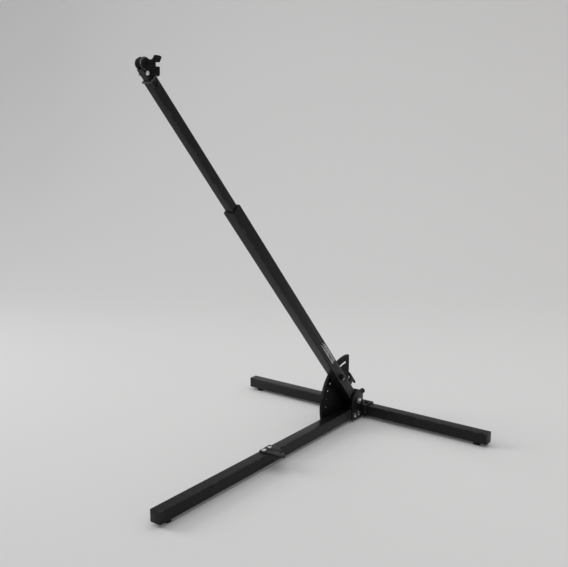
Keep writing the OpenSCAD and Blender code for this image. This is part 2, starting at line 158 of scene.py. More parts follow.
class Shader:
    """A material with one Principled shader."""

    def __init__(self, name, **fixed):
        self.material = bpy.data.materials.new(name)
        self.material.use_nodes = True
        self.tree = self.material.node_tree
        self.bsdf = self.tree.nodes["Principled BSDF"]
        self.coords = self.tree.nodes.new("ShaderNodeTexCoord").outputs["Object"]
        for slot, value in fixed.items():
            self.bsdf.inputs[slot.replace("_", " ")].default_value = value

    def plug(self, slot, item):
        if isinstance(item, Value):
            self.tree.links.new(item.socket, slot)
        elif isinstance(item, bpy.types.NodeSocket):
            self.tree.links.new(item, slot)
        else:
            slot.default_value = item

    def node(self, kind, output=0, props=(), **inputs):
        node = self.tree.nodes.new("ShaderNode" + kind)
        for name, value in dict(props).items():
            setattr(node, name, value)
        for name, item in inputs.items():
            self.plug(node.inputs[name.replace("_", " ")], item)
        return Value(self, node.outputs[output])

    def noise(self, scale, detail=3.0, roughness=0.55, stretch=None):
        coords = self.coords
        if stretch:
            coords = self.node("Mapping", Vector=coords, Scale=stretch)
        return self.node("TexNoise", Vector=coords, Scale=scale,
                         Detail=detail, Roughness=roughness)

    def attribute(self, name):
        return self.node("Attribute", "Fac", props={"attribute_name": name})

    def mix(self, share, first, second):
        node = self.tree.nodes.new("ShaderNodeMix")
        node.data_type = "RGBA"
        self.plug(node.inputs[0], share)
        self.plug(node.inputs[6], first)
        self.plug(node.inputs[7], second)
        return Value(self, node.outputs[2])

    def set(self, slot, item):
        self.plug(self.bsdf.inputs[slot], item)

    def bump(self, height, strength, distance):
        node = self.tree.nodes.new("ShaderNodeBump")
        node.inputs["Strength"].default_value = strength
        node.inputs["Distance"].default_value = distance
        self.plug(node.inputs["Height"], height)
        self.plug(self.bsdf.inputs["Normal"], node.outputs[0])


def grey(value, tint=(1.0, 1.0, 1.0)):
    return (*(value * channel for channel in tint), 1.0)


# %% [markdown]
# ## Materials
# Powder coat has a fine orange peel, faint cloudy gloss, thin dust and rubbed edges. Noise on Object
# coordinates makes all of them: it needs no unwrapping and keeps its scale from piece to piece. An
# `edge` attribute says where the coat is rubbed. `piece` sets it to 1 on faces that point along none
# of the piece's own axes, such as bevels and curved rims, and to 0 elsewhere.

# %% Coatings, metals and plastics
def powder_coat(name, shade, gloss, mirror, dust=0.015):
    shader = Shader(name, IOR=1.5, Specular_IOR_Level=mirror)
    clouds = shader.noise(9.0, 4.0)
    grime = shader.noise(55.0, 5.0, 0.65)
    peel = shader.noise(900.0, 2.0)
    scuff = shader.noise(38.0, 6.0, 0.7, stretch=(1.0, 1.0, 0.35))
    rubbed = shader.attribute("edge") * scuff.over(0.50, 0.62) * 0.55
    scratches = shader.noise(420.0, 2.0, 0.5, stretch=(1.0, 0.06, 0.06)).over(0.70, 0.76)
    worn = rubbed + scratches * 0.10
    dusty = grime.over(0.45, 0.75) * dust
    coat = shader.mix(clouds.over(0.3, 0.7), grey(shade * 0.82), grey(shade * 1.15, (1.0, 1.0, 1.04)))
    dusted = shader.mix(dusty, coat, grey(0.25))
    shader.set("Base Color", shader.mix(worn, dusted, grey(0.07, (1.0, 0.98, 0.95))))
    shader.set("Roughness", gloss + clouds * 0.10 + grime * 0.08 + worn * 0.12)
    shader.bump(peel + scuff * 0.25, 0.55, 0.0004)
    return shader.material


def plated_steel(name, shade, roughness, tint=(0.98, 1.0, 1.03)):
    shader = Shader(name, Metallic=1.0)
    stains = shader.noise(160.0, 4.0)
    brushed = shader.noise(700.0, 3.0, 0.6, stretch=(1.0, 1.0, 0.2))
    shader.set("Base Color", shader.mix(stains.over(0.35, 0.75), grey(shade, tint),
                                        grey(shade * 0.72, (1.03, 1.0, 0.94))))
    shader.set("Roughness", roughness + stains * 0.14 + brushed * 0.06)
    shader.bump(brushed, 0.10, 0.00015)
    return shader.material


def moulded(name, shade, roughness, grain=1400.0, tint=(1.0, 1.0, 1.0)):
    shader = Shader(name, IOR=1.48, Specular_IOR_Level=0.25)
    mottled = shader.noise(60.0, 4.0)
    fine = shader.noise(grain, 2.0)
    rubbed = shader.attribute("edge") * shader.noise(90.0, 4.0).over(0.5, 0.65)
    body = shader.mix(mottled.over(0.3, 0.7), grey(shade * 0.85, tint), grey(shade * 1.2, tint))
    shader.set("Base Color", shader.mix(rubbed * 0.35, body, grey(min(1.0, shade * 3 + 0.02))))
    shader.set("Roughness", roughness + mottled * 0.12)
    shader.bump(fine, 0.25, 0.0002)
    return shader.material


COAT = powder_coat("black_powder_coat", 0.0055, 0.30, 0.22)
# A darker, less glossy copy of the same black coat for the quadrant, its band and the head plates. Its darker
# colour is painted shade, standing in for the shade that falls on these plates.
COAT_PAINTED_SHADE = powder_coat("black_powder_coat_painted_shade", 0.003, 0.38, 0.12, dust=0.006)
ZINC = plated_steel("bright_zinc", 0.80, 0.20)
DARK_STEEL = plated_steel("blackened_steel", 0.045, 0.38, (1.0, 1.0, 1.02))
PLASTIC = moulded("black_plastic", 0.006, 0.38)
GREY_PLASTIC = moulded("collar_plastic", 0.045, 0.33)
GLOSS_PLASTIC = moulded("sheave_plastic", 0.006, 0.20, grain=500.0)
RUBBER = moulded("black_rubber", 0.006, 0.70, grain=800.0)
NYLON = moulded("natural_nylon", 0.62, 0.42, tint=(1.0, 0.99, 0.94))
DULL_STEEL = plated_steel("dulled_zinc", 0.16, 0.45)
BRONZE = plated_steel("sintered_bronze", 0.50, 0.35, (1.0, 0.72, 0.36))
FILM = moulded("label_film", 0.008, 0.30, grain=300.0)
PRINT = moulded("label_print", 0.80, 0.45, grain=900.0)
print(f"{len(bpy.data.materials)} materials")


# %% [markdown]
# ## Modelling tools
# Most of the stand is cut plate, square tube or turned bar. Plates and tubes start as outlines, in
# local millimetres, and rounded corners are worked out here once for all of them.

# %% Outlines
def arc(centre, radius, start, end, steps=24):
    """Points on an arc, with angles in degrees from the first axis."""
    angles = [math.radians(start + (end - start) * i / steps) for i in range(steps + 1)]
    return [(centre[0] + radius * math.cos(a), centre[1] + radius * math.sin(a)) for a in angles]


def circle(centre, radius, steps=48):
    return arc(centre, radius, 0, 360 * (steps - 1) / steps, steps - 1)


def rounded(corners, steps=6):
    """An outline from (x, y, radius) corners. A radius of 0 keeps the corner."""
    points = []
    for i, (x, y, radius) in enumerate(corners):
        here = Vector((x, y))
        if not radius:
            points.append((x, y))
            continue
        before = Vector(corners[i - 1][:2]) - here
        after = Vector(corners[(i + 1) % len(corners)][:2]) - here
        half_angle = before.angle(after) / 2
        reach = radius / math.tan(half_angle)
        first = here + before.normalized() * reach
        last = here + after.normalized() * reach
        inward = (before.normalized() + after.normalized()).normalized()
        middle = here + inward * radius / math.sin(half_angle)
        start = (first - middle).angle_signed(last - middle)
        for step in range(steps + 1):
            turn = Matrix.Rotation(-start * step / steps, 2)
            points.append(tuple(middle + turn @ (first - middle)))
    return points


def box_outline(low, high, radius):
    return rounded([(low[0], low[1], radius), (high[0], low[1], radius),
                    (high[0], high[1], radius), (low[0], high[1], radius)])


def square_outline(width, radius):
    return box_outline((-width / 2, -width / 2), (width / 2, width / 2), radius)


def turns_left(points):
    area = sum(a[0] * b[1] - b[0] * a[1] for a, b in zip(points, points[1:] + points[:1]))
    return area > 0


# %% [markdown]
# A plate or a tube is an outline with holes, filled and thickened as a flat curve, because a curve
# bevels its edges and leaves its holes open by itself. A round piece is a profile that is spun. A
# hexagon has its own rows of points, because its chamfer deepens towards the corners.

# %% Solids from outlines and profiles
def plate(bm, outline, holes, start, end, bevel=0.6, axes="xyz"):
    """Extrudes an outline with holes from start to end, in mm, with bevelled edges.

    axes names the local axis that each drawn axis and the thickness follow."""
    curve = bpy.data.curves.new("outline", "CURVE")
    curve.dimensions = "2D"
    curve.fill_mode = "BOTH"
    curve.extrude = (end - start) / 2 - bevel
    curve.bevel_depth = bevel
    curve.bevel_resolution = 1
    curve.offset = -bevel
    for points, left in [(outline, True)] + [(hole, False) for hole in holes]:
        ordered = points if turns_left(points) == left else points[::-1]
        spline = curve.splines.new("POLY")
        spline.points.add(len(ordered) - 1)
        for target, point in zip(spline.points, ordered):
            target.co = (*point, 0.0, 1.0)
        spline.use_cyclic_u = True
    holder = bpy.data.objects.new("outline", curve)
    bpy.context.collection.objects.link(holder)
    depsgraph = bpy.context.evaluated_depsgraph_get()
    mesh = bpy.data.meshes.new_from_object(holder.evaluated_get(depsgraph))
    columns = [Vector([float(letter == axis) for letter in "xyz"]) for axis in axes]
    turn = Matrix(columns).transposed().to_4x4()
    mesh.transform(turn @ Matrix.Translation((0, 0, (start + end) / 2)))
    bm.from_mesh(mesh)
    bpy.data.objects.remove(holder)
    bpy.data.curves.remove(curve)
    bpy.data.meshes.remove(mesh)
    bmesh.ops.remove_doubles(bm, verts=bm.verts, dist=1e-4)


def lathe(bm, profile, place=WORLD, steps=48):
    """Turns (radius, height) points, in mm, round the Z axis of place."""
    verts = [bm.verts.new((radius, 0.0, height)) for radius, height in profile]
    edges = [bm.edges.new(pair) for pair in zip(verts, verts[1:])]
    made = bmesh.ops.spin(bm, geom=verts + edges, cent=(0, 0, 0), axis=(0, 0, 1),
                          angle=math.tau, steps=steps, use_merge=True)
    ring = set(verts)
    for item in made["geom_last"]:
        if isinstance(item, bmesh.types.BMVert):
            ring.add(item)
    new = set(ring)
    stack = list(ring)
    while stack:
        for edge in stack.pop().link_edges:
            for vert in edge.verts:
                if vert not in new:
                    new.add(vert)
                    stack.append(vert)
    bmesh.ops.remove_doubles(bm, verts=list(new), dist=1e-4)
    bmesh.ops.transform(bm, matrix=place, verts=[v for v in new if v.is_valid])


def disc(radius, low, high, bore=0.0, edge=0.5):
    """Profile of a round piece with its rims rounded off, closed at the bore or the axis."""
    outer = [(radius - edge, low), (radius - 0.3 * edge, low + 0.3 * edge), (radius, low + edge),
             (radius, high - edge), (radius - 0.3 * edge, high - 0.3 * edge), (radius - edge, high)]
    if not bore:
        return [(0.0, low)] + outer + [(0.0, high)]
    return [(bore, low)] + outer + [(bore, high), (bore, low)]


def facing(point, axis):
    """A frame at a point, in mm, with its Z along axis."""
    return Matrix.Translation(point) @ Vector(axis).to_track_quat("Z", "Y").to_matrix().to_4x4()


def hexagon(bm, flats, low, high, place, bore=0.0, both=False):
    """A hexagon head or nut with turned chamfers, flats in mm."""
    around = 72
    slope = math.tan(math.radians(30))
    crown = 0.475 * flats
    rows = []
    for level in ((crown, low, 0), (None, low, 1 if both else 0), (None, high, 1), (crown, high, 0)):
        row = []
        for i in range(around):
            angle = math.tau * i / around
            off_flat = (angle + math.pi / 6) % (math.pi / 3) - math.pi / 6
            radius = 0.5 * flats / math.cos(off_flat)
            drop = max(0.0, radius - crown) * slope
            height = level[1] - math.copysign(drop, level[1] - (low + high) / 2) * level[2]
            reach = radius if level[0] is None else level[0]
            corner = Vector((reach * math.cos(angle), reach * math.sin(angle), height))
            row.append(bm.verts.new(place @ corner))
        rows.append(row)
    if bore:
        for height in (high - 0.6, low + 0.6):
            rows.append([bm.verts.new(place @ Vector((bore * math.cos(math.tau * i / around),
                                                      bore * math.sin(math.tau * i / around), height)))
                         for i in range(around)])
    pairs = list(zip(rows, rows[1:])) + ([(rows[-1], rows[0])] if bore else [])
    for lower, upper in pairs:
        for i in range(around):
            j = (i + 1) % around
            bm.faces.new((lower[i], lower[j], upper[j], upper[i]))
    if not bore:
        bm.faces.new(rows[0][::-1])
        bm.faces.new(rows[-1])


def thread(radius, low, high, pitch):
    """Profile of a threaded end from low up to high, closed on the axis. Its ridges are rings."""
    points = [(0.0, low), (radius - pitch * 0.6, low), (radius - pitch * 0.1, low + pitch * 0.6)]
    height = low + pitch
    while height < high - pitch:
        points += [(radius, height), (radius - pitch * 0.45, height + pitch / 2)]
        height += pitch
    return points + [(radius, high), (0.0, high)]


# Thread diameter and pitch for each width across flats, in mm
THREADS = {24: (16, 2.0), 19: (12, 1.75), 17: (10, 1.5), 13: (8, 1.25)}


def bolts(bm, boxes, axis, sign, threaded=14.0):
    """Hexagon bolts in the boxes, in metres, along an axis index with the head on the sign side."""
    direction = Vector([float(i == axis) * sign for i in range(3)])
    for low, high in boxes:
        size = (high - low) / MM
        flats = round(min(size[i] for i in range(3) if i != axis))
        diameter, pitch = THREADS[flats]
        head = 0.63 * diameter
        length = size[axis]
        tip = (low + high) / 2 / MM - direction * length / 2
        place = facing(tip, direction)
        lathe(bm, thread(diameter / 2, 0.0, threaded, pitch), place, 32)
        lathe(bm, disc(diameter / 2, threaded, length - head, edge=0.05), place, 32)
        hexagon(bm, flats, length - head + 0.4, length, place)
        lathe(bm, disc(0.47 * flats, length - head, length - head + 0.5, edge=0.1), place, 32)
        lathe(bm, disc(0.30 * flats, length - 0.3, length + 0.001, edge=0.15), place, 24)


def nuts(bm, boxes, axis):
    for low, high in boxes:
        size = (high - low) / MM
        flats = round(min(size[i] for i in range(3) if i != axis))
        direction = Vector([float(i == axis) for i in range(3)])
        centre = (low + high) / 2 / MM
        half = size[axis] / 2
        hexagon(bm, flats, -half, half, facing(centre, direction), THREADS[flats][0] / 2, both=True)


def pan_screws(bm, boxes, axis, sign, head, radius, shank):
    """Round-headed screws. A shallow dish stands for the drive recess."""
    direction = Vector([float(i == axis) * sign for i in range(3)])
    for low, high in boxes:
        length = (high - low)[axis] / MM
        place = facing((low + high) / 2 / MM - direction * length / 2, direction)
        lathe(bm, disc(shank, 0.0, length - head, edge=0.3), place, 24)
        top = length
        profile = [(0.0, top - head), (radius, top - head), (radius, top - 0.55 * head)]
        dome = 0.55 * head
        for turn in map(math.radians, (30, 55, 72)):
            profile.append((radius * math.cos(turn), top - dome + dome * math.sin(turn)))
        profile += [(radius * 0.28, top), (radius * 0.2, top - 0.4 * head), (0.0, top - 0.5 * head)]
        lathe(bm, profile, place, 32)


# %% [markdown]
# `piece` is the way out of a bmesh. It mends the normals, marks the rubbed faces, makes the object,
# puts it on its body and hides the CAD nodes it stands for. `drill` cuts holes that an
# outline can't have, such as those in a tube's side.

# %% Put a piece in place
def piece(name, bm, body, material, slot, nodes, place=WORLD, smooth=32, rub=True):
    """Makes an object of a bmesh in local mm, in place on its body, standing for CAD nodes."""
    bmesh.ops.recalc_face_normals(bm, faces=bm.faces)
    bevel_faces = [float(rub and max(abs(v) for v in face.normal) < 0.97) for face in bm.faces]
    bmesh.ops.transform(bm, matrix=place @ Matrix.Scale(MM, 4), verts=bm.verts)
    mesh = bpy.data.meshes.new(name)
    bm.to_mesh(mesh)
    bm.free()
    edge = mesh.attributes.new("edge", "FLOAT", "FACE")
    edge.data.foreach_set("value", bevel_faces)
    mesh.shade_smooth()
    mesh.set_sharp_from_angle(angle=math.radians(smooth))
    mesh.materials.append(material)
    made = bpy.data.objects.new(name, mesh)
    bpy.context.collection.objects.link(made)
    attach(made, body)
    if nodes:
        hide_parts(*nodes)
    print(f"{name} on {body}: {len(mesh.polygons)} faces, {material.name}")
    return made


def in_mm(box):
    return box[0] / MM, box[1] / MM


def drill(target, places, radius, start, end):
    """Bores round holes along X, from start to end, at (y, z) places of the mast's frame."""
    bm = bmesh.new()
    for y, z in places:
        lathe(bm, disc(radius, start, end, edge=0.05), facing((0, y, z), across), 32)
    bmesh.ops.recalc_face_normals(bm, faces=bm.faces)
    bmesh.ops.transform(bm, matrix=MAST @ Matrix.Scale(MM, 4), verts=bm.verts)
    mesh = bpy.data.meshes.new("drill")
    bm.to_mesh(mesh)
    bm.free()
    cutter = bpy.data.objects.new("drill", mesh)
    bpy.context.collection.objects.link(cutter)
    cut = target.modifiers.new("drill", "BOOLEAN")
    cut.object = cutter
    cut.solver = "EXACT"
    target.data = bpy.data.meshes.new_from_object(
        target.evaluated_get(bpy.context.evaluated_depsgraph_get()))
    target.modifiers.clear()
    bpy.data.objects.remove(cutter)


# %% [markdown]
# ## Floor frame
# The crossbar and the front leg are square tubes with a plastic plug in each open end. A tube is one
# square outline with a smaller one as its hole, so its wall has a real thickness at the ends.

# %% Tubes and plugs
WALL = 3.0
CORNER = 4.0
INNER_CORNER = 1.5


def shifted(points, centre):
    return [(x + centre[0], y + centre[1]) for x, y in points]


def tube(bm, width, start, end, axes, centre=(0.0, 0.0)):
    outer = shifted(square_outline(width, CORNER), centre)
    inner = shifted(square_outline(width - 2 * WALL, INNER_CORNER), centre)
    plate(bm, outer, [inner], start, end, 0.35, axes)


bar_low, bar_high = in_mm(solid("crossbar"))
bar_mid = (bar_low + bar_high) / 2
tube_w = bar_high.z - bar_low.z
bm = bmesh.new()
tube(bm, tube_w, bar_low.x, bar_high.x, "yzx", (bar_mid.y, bar_mid.z))
piece("crossbar_tube", bm, "base", COAT, "black_powder_coat", ["crossbar"])

leg_low, leg_high = in_mm(solid("front_leg"))
bm = bmesh.new()
tube(bm, tube_w, leg_low.y, leg_high.y, "xzy", (0.0, bar_mid.z))
piece("front_leg_tube", bm, "base", COAT, "black_powder_coat", ["front_leg"])


def plug(bm, start, end, axes, centre, sign):
    """A tube plug: a bevelled face, wider than the body behind it, with a slim gap to the tube."""
    inner = tube_w - 2 * WALL
    face = shifted(square_outline(inner - 0.5, INNER_CORNER), centre)
    body = shifted(square_outline(inner - 2.0, INNER_CORNER), centre)
    face_t = 5.0
    if sign > 0:
        plate(bm, face, [], end - face_t, end, 1.0, axes)
        plate(bm, body, [], start, end - face_t, 0.2, axes)
    else:
        plate(bm, face, [], start, start + face_t, 1.0, axes)
        plate(bm, body, [], start + face_t, end, 0.2, axes)


bm = bmesh.new()
for low, high in map(in_mm, solids("crossbar_end_caps")):
    plug(bm, low.x, high.x, "yzx", (bar_mid.y, bar_mid.z), 1 if high.x > 0 else -1)
piece("crossbar_plugs", bm, "base", PLASTIC, "black_plastic", ["crossbar_end_caps"])
cap_low, cap_high = in_mm(solid("leg_end_cap"))
bm = bmesh.new()
plug(bm, cap_low.y, cap_high.y, "xzy", (0.0, bar_mid.z), -1)
piece("leg_plug", bm, "base", PLASTIC, "black_plastic", ["leg_end_cap"])

# %% [markdown]
# Each foot is a rubber puck with a hollow for its screw's head and a groove near its top. It is
# round all over, so one spun profile makes it.

# %% Feet
bm = bmesh.new()
for low, high in map(in_mm, solids("rubber_feet")):
    centre = (low + high) / 2
    radius = (high.x - low.x) / 2
    height = high.z - low.z
    lathe(bm, [(3.4, 7.0), (7.0, 7.0), (7.0, 0.8), (7.8, 0.0), (radius - 3.2, 0.0), (radius - 2.2, 0.7),
               (radius - 1.9, 2.0), (radius - 0.9, height - 3.4), (radius - 1.5, height - 2.9),
               (radius - 1.5, height - 2.3), (radius, height - 1.9), (radius, height), (3.4, height),
               (3.4, 7.0)], Matrix.Translation((centre.x, centre.y, low.z)))
piece("rubber_feet_detail", bm, "base", RUBBER, "rubber", ["rubber_feet"], rub=False)
bm = bmesh.new()
pan_screws(bm, solids("foot_screws"), 2, -1, 5.0, 6.0, 3.0)
piece("foot_screws_detail", bm, "base", ZINC, "zinc", ["foot_screws"], rub=False)

# %% [markdown]
# The saddle is a thick plate folded over the crossbar, and the front leg's end butts against it. The
# fold is drawn as one outline across the bar and given its length, so its bends come out round.

# %% Saddle over the crossbar
sad_low, sad_high = in_mm(solid("bar_saddle"))
thick = (sad_high.y - sad_low.y - tube_w) / 2
inside = [(sad_low.y + thick, sad_low.z), (sad_low.y + thick, sad_high.z - thick),
          (sad_high.y - thick, sad_high.z - thick), (sad_high.y - thick, sad_low.z)]
outline = rounded([(sad_low.y, sad_low.z, 0), (*inside[0], 0), (*inside[1], 2.5), (*inside[2], 2.5),
                   (*inside[3], 0), (sad_high.y, sad_low.z, 0), (sad_high.y, sad_high.z, 9.0),
                   (sad_low.y, sad_high.z, 9.0)])
bm = bmesh.new()
plate(bm, outline, [], sad_low.x, sad_high.x, 0.7, "yzx")
piece("saddle_plate", bm, "base", COAT, "black_powder_coat", ["bar_saddle"])

# %% [markdown]
# ## Hub
# The quadrant plate stands on the far side of the leg and the plain cheek on the near side. Both
# carry the pivot bolt, and two bolts clamp them to the leg. Their outlines are arcs about the pivot,
# and the lock holes and the slot belong to the same drawing, so nothing has to be cut afterwards.

# %% Quadrant, rim and cheek
pivot_y, pivot_z = pivot.y / MM, pivot.z / MM
quad_low, quad_high = in_mm(solid("quadrant_plate"))
rim_low, rim_high = in_mm(solid("quadrant_rim"))
cheek_low, cheek_high = in_mm(solid("near_cheek"))
cheek_r = (cheek_high.y - cheek_low.y) / 2
rim_r = pivot_y - rim_low.y
quad_r = pivot_y - quad_low.y
quad_back = rim_high.y - pivot_y
rim_foot = pivot_z - rim_low.z
lock = solid("lock_pin", MAST)
lock_r = (lock[0].z + lock[1].z) / 2 / MM
pin_r = (lock[1].z - lock[0].z) / 2 / MM
# Radius of the plates' lower corners in mm, and the angles of the lock holes and the slot in degrees
FOOT_R = 6.0
LOCK_PITCH = 11.5
LOCK_STEPS = 5
SLOT_ANGLES = (65.0, 86.0)
hub = (pivot_y, pivot_z)


def quadrant_arc(radius):
    """The rim's arc from the back edge, over the top and down to the foot."""
    start = math.degrees(math.acos(quad_back / radius))
    end = 180 + math.degrees(math.asin(rim_foot / radius))
    return arc(hub, radius, start, end, 72)


foot_z = pivot_z - rim_foot
corner = math.degrees(math.acos(quad_back / cheek_r))
outline = quadrant_arc(quad_r) + [(pivot_y - cheek_r, foot_z), (pivot_y - cheek_r, cheek_low.z + FOOT_R)]
outline += arc((pivot_y - cheek_r + FOOT_R, cheek_low.z + FOOT_R), FOOT_R, 180, 270, 6)
outline += arc((pivot_y + cheek_r - FOOT_R, cheek_low.z + FOOT_R), FOOT_R, 270, 360, 6)
outline += arc(hub, cheek_r, 0, corner, 16)


def lock_place(angle, radius=lock_r):
    """A place on the quadrant, with its angle measured up from the front."""
    turn = math.radians(180 - angle)
    return (pivot_y + radius * math.cos(turn), pivot_z + radius * math.sin(turn))


hole_r = pin_r + 0.3
holes = [circle(lock_place(90 - lean - i * LOCK_PITCH), hole_r) for i in range(LOCK_STEPS)]
slot_low, slot_high = (180 - angle for angle in SLOT_ANGLES)
slot = arc(hub, lock_r + hole_r, slot_low, slot_high)
slot += arc(lock_place(SLOT_ANGLES[1]), hole_r, slot_high, slot_high - 180, 12)[1:-1]
slot += arc(hub, lock_r - hole_r, slot_high, slot_low)
slot += arc(lock_place(SLOT_ANGLES[0]), hole_r, slot_low + 180, slot_low, 12)[1:-1]
bm = bmesh.new()
plate(bm, outline, holes + [slot], quad_low.x, quad_high.x, 0.5, "yzx")
# The quadrant takes the darker copy of the black coat, whose darker colour is painted shade.
piece("quadrant", bm, "base", COAT_PAINTED_SHADE, "black_powder_coat", ["quadrant_plate"])

bm = bmesh.new()
band = quadrant_arc(rim_r) + quadrant_arc(quad_r)[::-1]
plate(bm, band, [], rim_low.x, rim_high.x, 0.6, "yzx")
# The band takes the darker copy of the black coat, whose darker colour is painted shade.
piece("quadrant_band", bm, "base", COAT_PAINTED_SHADE, "black_powder_coat", ["quadrant_rim"])

bm = bmesh.new()
outline = arc(hub, cheek_r, 0, 180, 48)
outline += arc((pivot_y - cheek_r + FOOT_R, cheek_low.z + FOOT_R), FOOT_R, 180, 270, 6)
outline += arc((pivot_y + cheek_r - FOOT_R, cheek_low.z + FOOT_R), FOOT_R, 270, 360, 6)
plate(bm, outline, [], cheek_low.x, cheek_high.x, 0.7, "yzx")
piece("cheek", bm, "base", COAT, "black_powder_coat", ["near_cheek"])

# %% [markdown]
# A cross plate stands on the saddle behind the mast and carries the stop screw. A weld bead runs
# along its foot on both sides. Overlapping turned ripples give the bead its scaly look.

# %% Back plate
back_low, back_high = in_mm(solid("hub_back_plate"))
bm = bmesh.new()
plate(bm, box_outline((back_low.x, back_low.z), (back_high.x, back_high.z), 3.0), [],
      back_low.y, back_high.y, 0.7, "xzy")
piece("back_plate", bm, "base", COAT, "black_powder_coat", ["hub_back_plate"])


def weld_bead(bm, start, end, size):
    """A row of overlapping ripples along a seam, in mm."""
    run = Vector(end) - Vector(start)
    count = int(run.length / (size * 0.55))
    for i in range(count + 1):
        place = facing(Vector(start) + run * i / count, run)
        lathe(bm, [(0.0, -size * 0.6), (size * 0.75, -size * 0.35), (size, 0.0), (size * 0.75, size * 0.35),
                   (0.0, size * 0.6)], place, 16)


bm = bmesh.new()
for seam_y in (back_low.y, back_high.y):
    weld_bead(bm, (back_low.x + 4, seam_y, back_low.z), (back_high.x - 4, seam_y, back_low.z), 2.4)
piece("back_plate_weld", bm, "base", COAT, "black_powder_coat", [], rub=False)

# %% [markdown]
# Bolts and nuts take their size from their CAD boxes, and their thread from the width across flats.
# The threads are turned rings: a true helix has many more faces and would hardly look different.

# %% Fasteners of the floor frame
slot_of = {part["node"]: part["material_slot"] for part in frame["record"]["subparts"]}


def fastener(node):
    """Finish and slot of a fastener: bright zinc, or blackened where the record says so."""
    return (DARK_STEEL, "dark_washer") if slot_of[node] == "dark_washer" else (ZINC, "zinc")


# Node, index of the axis and threaded length in mm. Each head is on the axis's positive side.
FRAME_BOLTS = [("saddle_bolts", 2, 26), ("leg_bolts", 0, 20), ("pivot_bolt", 0, 24),
               ("stop_screw", 1, 50), ("lug_bolts", 2, 26)]
for name, axis, threaded in FRAME_BOLTS:
    bm = bmesh.new()
    bolts(bm, solids(name), axis, 1, threaded)
    piece(name + "_detail", bm, "base", *fastener(name), [name], rub=False)
for name, axis in (("saddle_nuts", 2), ("leg_nuts", 0), ("pivot_nut", 0), ("stop_nut", 1), ("lug_nuts", 2)):
    bm = bmesh.new()
    nuts(bm, solids(name), axis)
    piece(name + "_detail", bm, "base", *fastener(name), [name], rub=False)
bm = bmesh.new()
for low, high in map(in_mm, solids("pivot_washers")):
    place = facing(((low.x + high.x) / 2, pivot_y, pivot_z), across)
    half = (high.x - low.x) / 2
    lathe(bm, disc((high.z - low.z) / 2, -half, half, 8.0, 0.7), place)
piece("pivot_washers_detail", bm, "base", DARK_STEEL, "dark_washer", ["pivot_washers"], rub=False)

# %% [markdown]
# The lug plate has a round ear with the hole that the record states as a mount. The hole's place and
# radius are read from the record.

# %% Lug plate
lug_low, lug_high = in_mm(solid("lug_plate"))
EAR_R = 15.0
ear = (lug_high.x - EAR_R, lug_low.y + EAR_R)
hole = next(m for m in frame["record"]["mounts"] if m["name"] == "lug_hole")
hole_at = [v / MM for v in hole["pos_m"][:2]]
slope_end = (ear[0] + EAR_R * 0.53, ear[1] + EAR_R * 0.848)
outline = [(lug_low.x + 3, lug_low.y)] + arc(ear, EAR_R, 270, 418, 24)
outline += rounded([(slope_end[0], slope_end[1], 0), (tube_w / 2 + 3, lug_high.y, 8.0),
                    (lug_low.x, lug_high.y, 3.0), (lug_low.x, lug_low.y, 0)])[1:-1]
bm = bmesh.new()
plate(bm, outline, [circle(hole_at, hole["dims"]["r_mm"])], lug_low.z, lug_high.z, 0.7, "xyz")
piece("lug", bm, "base", COAT, "black_powder_coat", ["lug_plate"])

# %% [markdown]
# ## Lower mast
# These pieces are drawn in the mast's own frame, where Z runs along the tube, so none of them has to
# deal with the lean. A plastic bush in the tube's top guides the upper tube. The label is a thin film
# with uneven bars in place of text.

# %% Tube, bush and label
bm = bmesh.new()
tube(bm, tube_w, lower_low.z / MM, lower_high.z / MM, "xyz")
lower_tube = piece("lower_mast_tube", bm, "lower_mast", COAT, "black_powder_coat", ["lower_mast"], MAST)
barrel_low, barrel_high = in_mm(solid("index_barrel", MAST))
index_place = ((barrel_low.y + barrel_high.y) / 2, (barrel_low.z + barrel_high.z) / 2)
lock_low, lock_high = in_mm(solid("lock_pin_sleeve", MAST))
lock_place_in_mast = ((lock_low.y + lock_high.y) / 2, (lock_low.z + lock_high.z) / 2)
drill(lower_tube, [lock_place_in_mast], 9.0, -tube_w / 2 - 2, tube_w / 2 + 2)
drill(lower_tube, [index_place], 6.0, -tube_w / 2 - 2, 0)

bush_low, bush_high = in_mm(solid("mast_bush", MAST))
upper_w = (upper_high.x - upper_low.x) / MM
lower_top = lower_high.z / MM
bm = bmesh.new()
opening = square_outline(upper_w + 0.5, CORNER)
plate(bm, square_outline(bush_high.x - bush_low.x, CORNER), [opening], lower_top, bush_high.z, 0.6)
plate(bm, square_outline(tube_w - 2 * WALL - 0.2, INNER_CORNER), [opening], bush_low.z, lower_top, 0.2)
bush = piece("guide_bush", bm, "lower_mast", PLASTIC, "black_plastic", ["mast_bush"], MAST)
drill(bush, [index_place], 4.3, -tube_w / 2, 0)

lab_low, lab_high = in_mm(solid("rating_label", MAST))
bm = bmesh.new()
plate(bm, box_outline((lab_low.y, lab_low.z), (lab_high.y, lab_high.z), 2.0), [],
      lab_low.x, lab_high.x - 0.1, 0.1, "yzx")
piece("label", bm, "lower_mast", FILM, "label", ["rating_label"], MAST)


def dashes(bm, y, width, start, end, seed, fill):
    """A row of bars of uneven length along the label, with no lettering."""
    rng = random.Random(seed)
    here = start
    while here < end:
        length = rng.uniform(1.5, 9.0)
        stop = min(here + length, end)
        if rng.random() < fill and stop - here > 0.8:
            plate(bm, box_outline((y - width / 2, here), (y + width / 2, stop), 0.2), [],
                  lab_high.x - 0.12, lab_high.x, 0.02, "yzx")
        here = stop + rng.uniform(0.8, 2.0)


